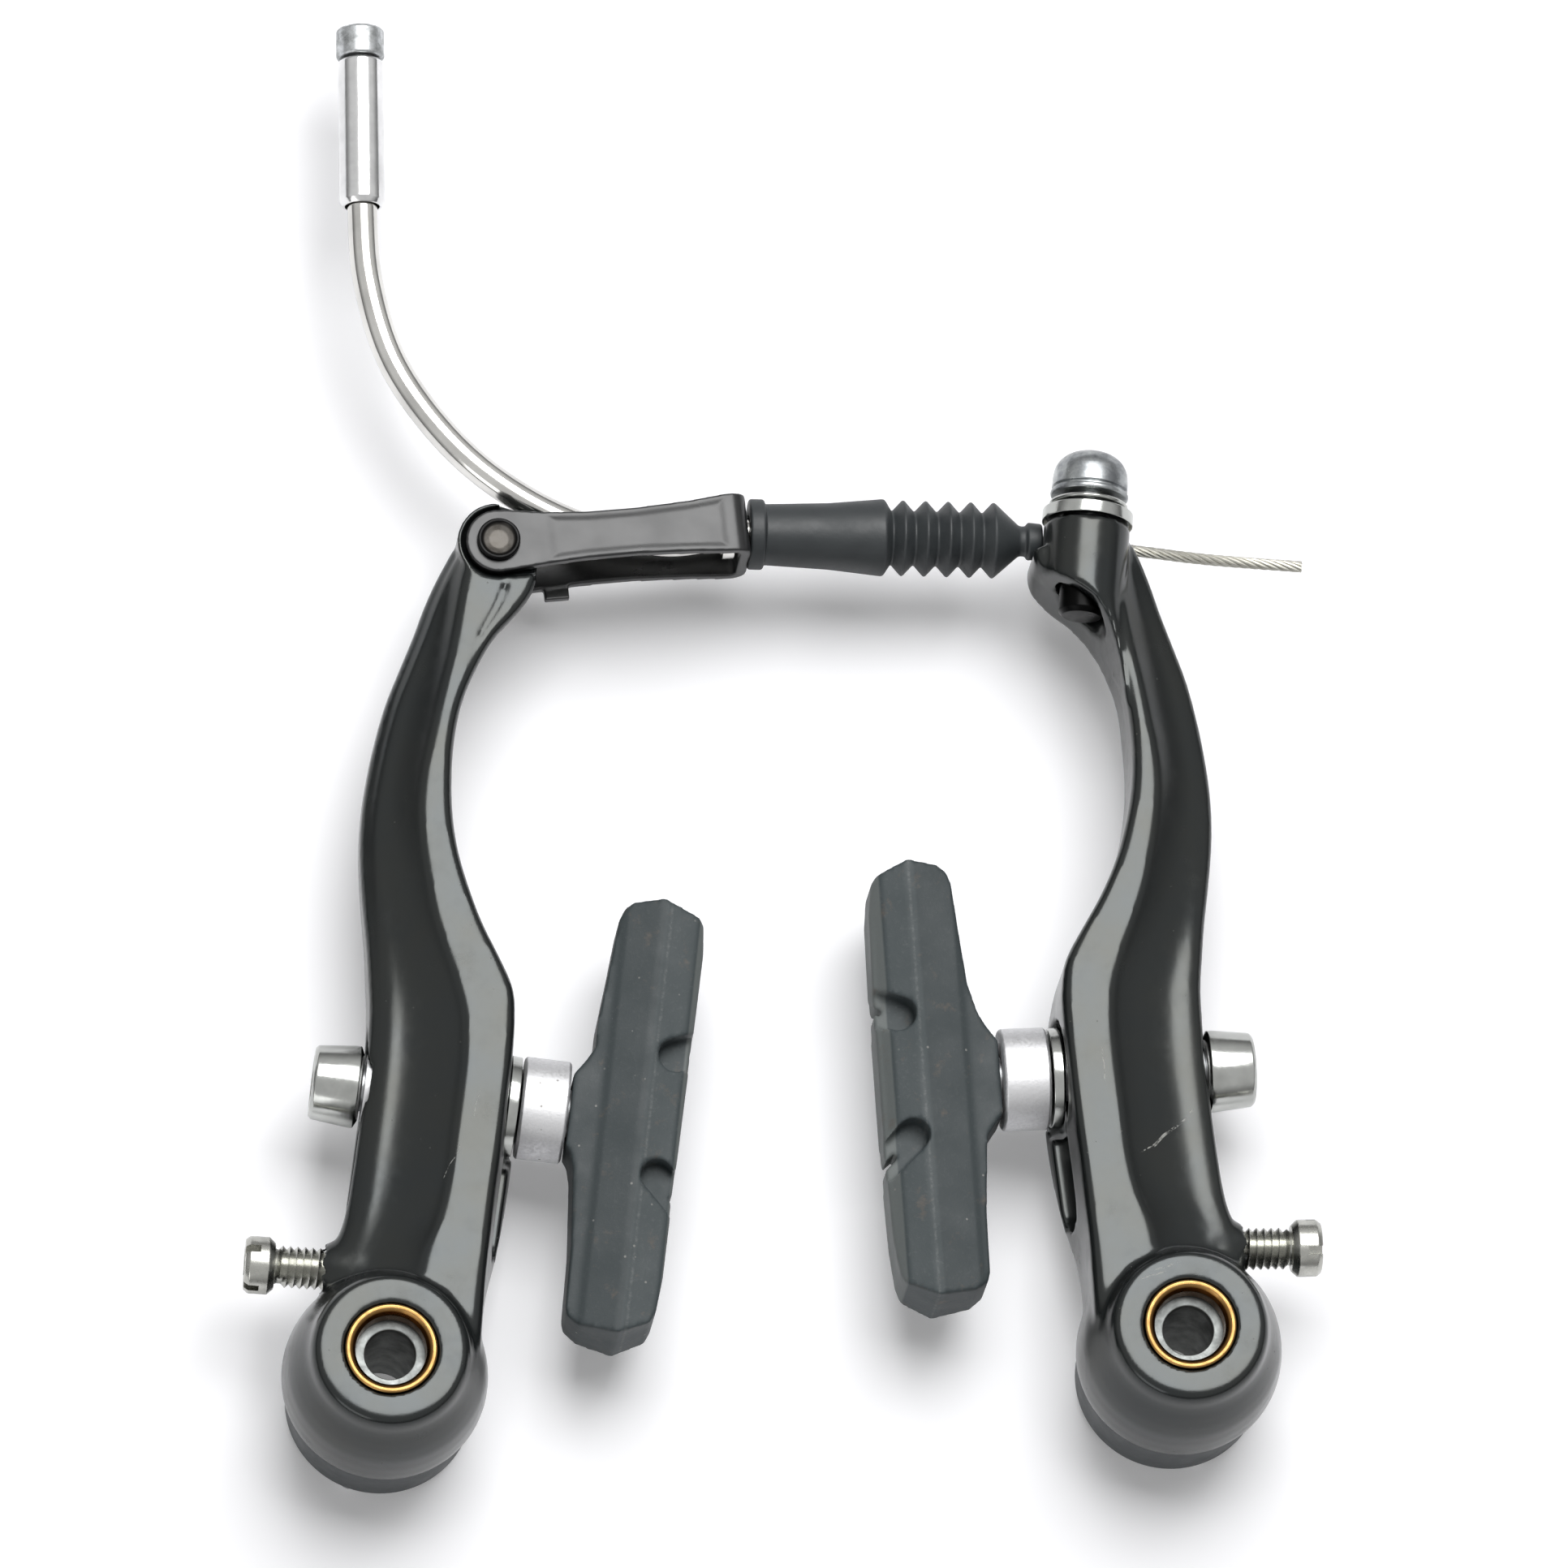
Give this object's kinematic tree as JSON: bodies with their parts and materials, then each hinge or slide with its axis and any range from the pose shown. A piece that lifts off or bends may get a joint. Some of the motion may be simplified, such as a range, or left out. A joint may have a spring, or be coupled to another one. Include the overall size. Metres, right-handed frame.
{
  "type": "linear-pull rim brake",
  "caption": "Linear-pull bicycle rim brake: pivoting cast arms with rubber pads, joined across the top by a link, a bent cable guide tube, a bellows boot and an inner cable.",
  "frame": {"origin": "under the middle of the whole set, at the level of the spring pins' tips on its back", "axes": "+X to the right as seen from the front, +Y up the arms from the pivots to the cable, +Z out of the front"},
  "size_m": [0.1414, 0.1938, 0.0284],
  "materials": {
    "left_arm": "gloss black paint",
    "left_pivot_bushing": "bare brass",
    "left_pivot_sleeve": "plain steel",
    "left_spring_cap": "dark grey moulded plastic",
    "left_spring_pin": "plain steel",
    "left_return_spring": "plain steel",
    "left_tension_screw": "bright zinc",
    "left_pad_rubber": "slate grey moulded rubber",
    "left_pad_stud": "plain steel",
    "left_thick_spacer": "satin aluminium",
    "left_inner_cup_washer": "bright chrome",
    "left_outer_cup_washer": "bright chrome",
    "left_outer_thin_spacer": "satin aluminium",
    "left_pad_nut": "bright chrome",
    "right_arm": "gloss black paint",
    "right_pivot_bushing": "bare brass",
    "right_pivot_sleeve": "plain steel",
    "right_spring_cap": "dark grey moulded plastic",
    "right_spring_pin": "plain steel",
    "right_return_spring": "plain steel",
    "right_tension_screw": "bright zinc",
    "right_pad_rubber": "slate grey moulded rubber",
    "right_pad_stud": "plain steel",
    "right_thick_spacer": "satin aluminium",
    "right_inner_cup_washer": "bright chrome",
    "right_outer_cup_washer": "bright chrome",
    "right_outer_thin_spacer": "satin aluminium",
    "right_pad_nut": "bright chrome",
    "link": "gloss black paint",
    "link_rivet": "plain steel",
    "noodle_tube": "bright zinc",
    "noodle_sleeve": "bright zinc",
    "noodle_collar": "bright zinc",
    "cable_end_stop": "bright zinc",
    "boot": "black moulded rubber",
    "inner_cable": "twisted steel strands",
    "anchor_washer": "bright chrome",
    "anchor_ring": "bright chrome",
    "anchor_bolt": "bright chrome"
  },
  "bodies": {
    "frame_side": {"left_pivot_sleeve": "left_pivot_sleeve", "left_spring_cap": "left_spring_cap", "left_return_spring": "left_return_spring", "left_spring_pin": "left_spring_pin", "right_pivot_sleeve": "right_pivot_sleeve", "right_spring_cap": "right_spring_cap", "right_return_spring": "right_return_spring", "right_spring_pin": "right_spring_pin"},
    "left_arm": {"left_arm": "left_arm", "left_pivot_bushing": "left_pivot_bushing", "left_pad_rubber": "left_pad_rubber", "left_pad_stud": "left_pad_stud", "left_thick_spacer": "left_thick_spacer", "left_inner_cup_washer": "left_inner_cup_washer", "left_outer_cup_washer": "left_outer_cup_washer", "left_outer_thin_spacer": "left_outer_thin_spacer", "left_pad_nut": "left_pad_nut"},
    "left_screw": {"left_tension_screw": "left_tension_screw"},
    "right_arm": {"right_arm": "right_arm", "right_pivot_bushing": "right_pivot_bushing", "right_pad_rubber": "right_pad_rubber", "right_pad_stud": "right_pad_stud", "right_thick_spacer": "right_thick_spacer", "right_inner_cup_washer": "right_inner_cup_washer", "right_outer_cup_washer": "right_outer_cup_washer", "right_outer_thin_spacer": "right_outer_thin_spacer", "right_pad_nut": "right_pad_nut", "inner_cable": "inner_cable", "anchor_bolt": "anchor_bolt", "anchor_ring": "anchor_ring", "anchor_washer": "anchor_washer"},
    "right_screw": {"right_tension_screw": "right_tension_screw"},
    "link": {"link": "link", "link_rivet": "link_rivet", "boot": "boot"},
    "noodle": {"noodle_tube": "noodle_tube", "noodle_sleeve": "noodle_sleeve", "noodle_collar": "noodle_collar"},
    "cable_stop": {"cable_end_stop": "cable_end_stop"}
  },
  "joints": [
    {"name": "left_arm_pivot", "type": "hinge", "parent": "frame_side", "child": "left_arm", "pos_m": [-0.0532, -0.08379, 0.015], "axis": [0, 0, -1], "range_deg": [0, 3], "stiffness_Nm_per_rad": 0.6, "springref_deg": -40.11, "deforming": ["left_return_spring", "boot", "inner_cable"]},
    {"name": "right_arm_pivot", "type": "hinge", "parent": "frame_side", "child": "right_arm", "pos_m": [0.0478, -0.08379, 0.015], "axis": [0, 0, 1], "range_deg": [0, 3], "stiffness_Nm_per_rad": 0.6, "springref_deg": -40.11, "deforming": ["right_return_spring"]},
    {"name": "link_pivot", "type": "hinge", "parent": "left_arm", "child": "link", "pos_m": [-0.03381, 0.02479, 0.015], "axis": [0, 0, 1], "range_deg": [0, 3.6]},
    {"name": "noodle_swivel", "type": "hinge", "parent": "link", "child": "noodle", "pos_m": [-0.00386, 0.02652, 0.015], "axis": [0.9983, 0.0576, 0], "range_deg": [-20, 20]},
    {"name": "cable_pull", "type": "slide", "parent": "noodle", "child": "cable_stop", "axis": [0.035, 0.9994, 0], "range_m": [0, 0.0114]},
    {"name": "left_tension_screw_turn", "type": "hinge", "parent": "left_arm", "child": "left_screw", "pos_m": [-0.05728, -0.07021, 0.016], "axis": [-0.9952, 0.0976, 0], "continuous": true},
    {"name": "right_tension_screw_turn", "type": "hinge", "parent": "right_arm", "child": "right_screw", "pos_m": [0.0534, -0.07077, 0.016], "axis": [0.9998, -0.0175, 0], "continuous": true}
  ],
  "couplings": [
    {"joint": "right_arm_pivot", "follows": "left_arm_pivot", "ratio": 1},
    {"joint": "link_pivot", "follows": "left_arm_pivot", "ratio": 1.18},
    {"joint": "cable_pull", "follows": "left_arm_pivot", "m_per_rad": 0.2154}
  ]
}
